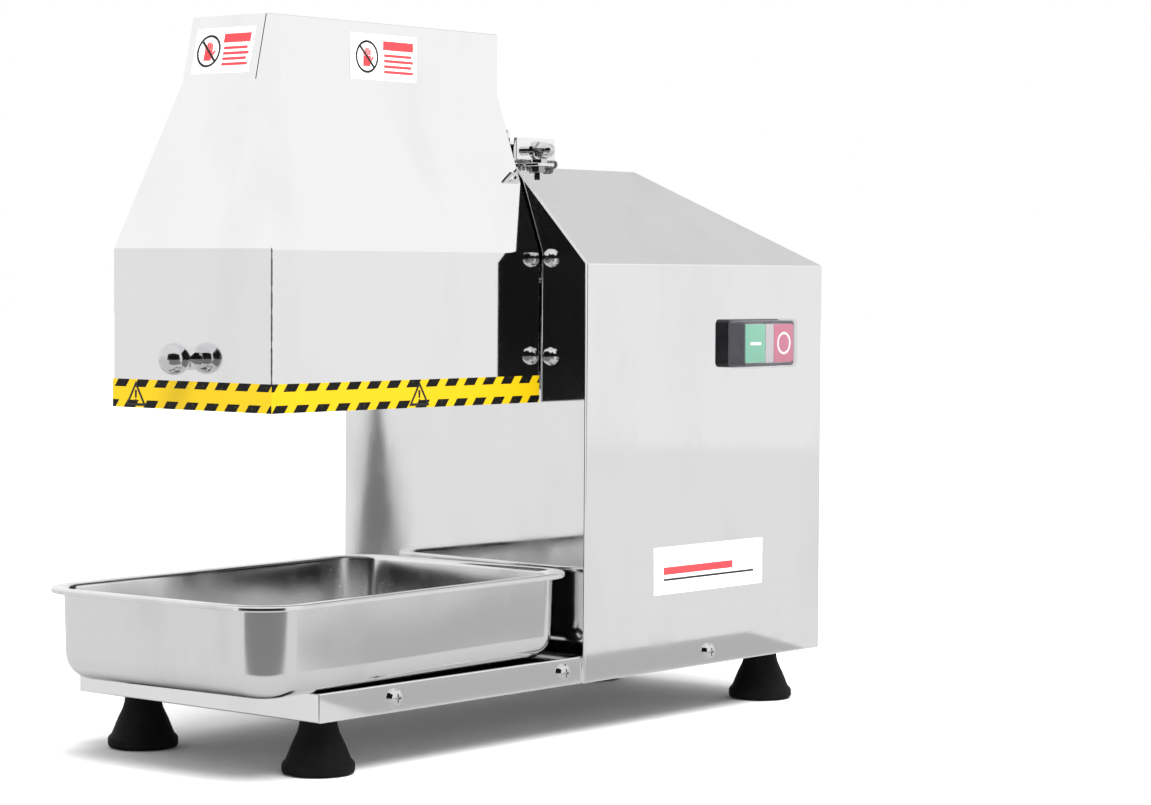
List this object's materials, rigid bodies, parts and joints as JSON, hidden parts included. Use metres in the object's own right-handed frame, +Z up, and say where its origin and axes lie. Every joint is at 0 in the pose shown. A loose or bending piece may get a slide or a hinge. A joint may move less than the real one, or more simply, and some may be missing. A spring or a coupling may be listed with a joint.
{
  "type": "meat tenderizer",
  "caption": "Countertop electric meat tenderizer: polished steel housing, hinged safety hood with feed chute over two interleaved blade rollers, push-button switch, loose tray, rubber feet.",
  "frame": {"origin": "on the floor, under the middle of the whole machine's box", "axes": "+X towards the motor end, -Y towards the front with the switch, +Z up"},
  "size_m": [0.5692, 0.261, 0.454],
  "materials": {
    "brushed_stainless": "satin brushed sheet",
    "polished_stainless": "mirror polished sheet",
    "bright_fasteners": "bright turned stainless",
    "black_rubber": "matt moulded rubber",
    "black_plastic": "moulded plastic",
    "clear_silicone": "translucent moulded silicone",
    "lamp_lens": "frosted lamp lens",
    "green_plastic": "moulded plastic",
    "red_plastic": "moulded plastic",
    "white_label": "printed film",
    "yellow_tape": "printed film with black hazard stripes",
    "cast_aluminium": "die cast",
    "laminated_iron": "laminated core, varnished",
    "machined_steel": "turned and hobbed steel",
    "blade_steel": "ground stainless blades",
    "bronze": "sintered bronze"
  },
  "bodies": {
    "housing": {"base_plate": "brushed_stainless", "base_channels": "brushed_stainless", "rubber_feet": "black_rubber", "foot_bolts": "bright_fasteners", "flange_screws": "bright_fasteners", "motor_cover": "polished_stainless", "end_wall": "polished_stainless", "wall_bolts": "bright_fasteners", "switch_body": "black_plastic", "switch_boot": "clear_silicone", "indicator_lens": "lamp_lens", "name_plate": "white_label", "cable_gland": "black_plastic", "motor_shell": "cast_aluminium", "stator": "laminated_iron", "motor_end_bell": "cast_aluminium", "fan_cover": "black_plastic", "motor_foot": "laminated_iron", "run_capacitor": "cast_aluminium", "gearbox_case": "cast_aluminium", "gearbox_lid": "cast_aluminium", "gearbox_bolts": "bright_fasteners", "bearings": "machined_steel", "cassette_studs": "bright_fasteners", "thumb_nuts": "black_plastic", "side_plates": "brushed_stainless", "tie_tubes": "brushed_stainless", "stripper_combs": "brushed_stainless", "roller_bushes": "bronze", "cassette_screws": "bright_fasteners", "hinge_bracket": "polished_stainless", "hinge_pin": "bright_fasteners", "hinge_washers": "bright_fasteners", "hinge_nuts": "bright_fasteners", "acorn_nuts": "bright_fasteners", "rest_screw": "bright_fasteners", "reed_switch": "black_plastic"},
    "hood": {"hood_shell": "polished_stainless", "hazard_tape": "yellow_tape", "hood_labels": "white_label", "ball_knob": "bright_fasteners", "hinge_arm": "polished_stainless", "safety_magnet": "black_plastic"},
    "motor_rotor": {"rotor_core": "laminated_iron", "rotor_shaft": "machined_steel", "cooling_fan": "black_plastic"},
    "layshaft": {"layshaft": "machined_steel", "layshaft_gear": "machined_steel"},
    "front_roller": {"output_shaft": "machined_steel", "output_gear": "machined_steel", "drive_coupling": "machined_steel", "front_shaft": "machined_steel", "front_blades": "blade_steel", "front_gear": "machined_steel"},
    "rear_roller": {"rear_shaft": "machined_steel", "rear_blades": "blade_steel", "rear_gear": "machined_steel"},
    "start_button": {"start_button": "green_plastic"},
    "stop_button": {"stop_button": "red_plastic"},
    "tray": {"tray": "brushed_stainless"}
  },
  "joints": [
    {"name": "hood_hinge", "type": "hinge", "parent": "housing", "child": "hood", "pos_m": [0.0461, 0.002, 0.379], "axis": [0, 1, 0], "range_deg": [0, 105]},
    {"name": "motor_spin", "type": "hinge", "parent": "housing", "child": "motor_rotor", "pos_m": [0.1631, 0.002, 0.12781], "axis": [1, 0, 0], "continuous": true},
    {"name": "layshaft_spin", "type": "hinge", "parent": "housing", "child": "layshaft", "pos_m": [0.0731, -0.00871, 0.18532], "axis": [1, 0, 0], "continuous": true},
    {"name": "front_roller_spin", "type": "hinge", "parent": "housing", "child": "front_roller", "pos_m": [-0.0969, -0.023, 0.262], "axis": [1, 0, 0], "continuous": true},
    {"name": "rear_roller_spin", "type": "hinge", "parent": "housing", "child": "rear_roller", "pos_m": [-0.0969, 0.027, 0.262], "axis": [1, 0, 0], "continuous": true},
    {"name": "start_push", "type": "slide", "parent": "housing", "child": "start_button", "axis": [0, 1, 0], "range_m": [0, 0.003], "stiffness_N_per_m": 400, "springref_m": -0.001},
    {"name": "stop_push", "type": "slide", "parent": "housing", "child": "stop_button", "axis": [0, 1, 0], "range_m": [0, 0.003], "stiffness_N_per_m": 400, "springref_m": -0.001},
    {"name": "tray_lift", "type": "slide", "parent": "housing", "child": "tray", "axis": [0, 0, 1], "range_m": [0, 0.085]}
  ],
  "couplings": [
    {"joint": "layshaft_spin", "follows": "motor_spin", "ratio": -0.3},
    {"joint": "front_roller_spin", "follows": "motor_spin", "ratio": 0.09},
    {"joint": "rear_roller_spin", "follows": "motor_spin", "ratio": -0.09}
  ]
}
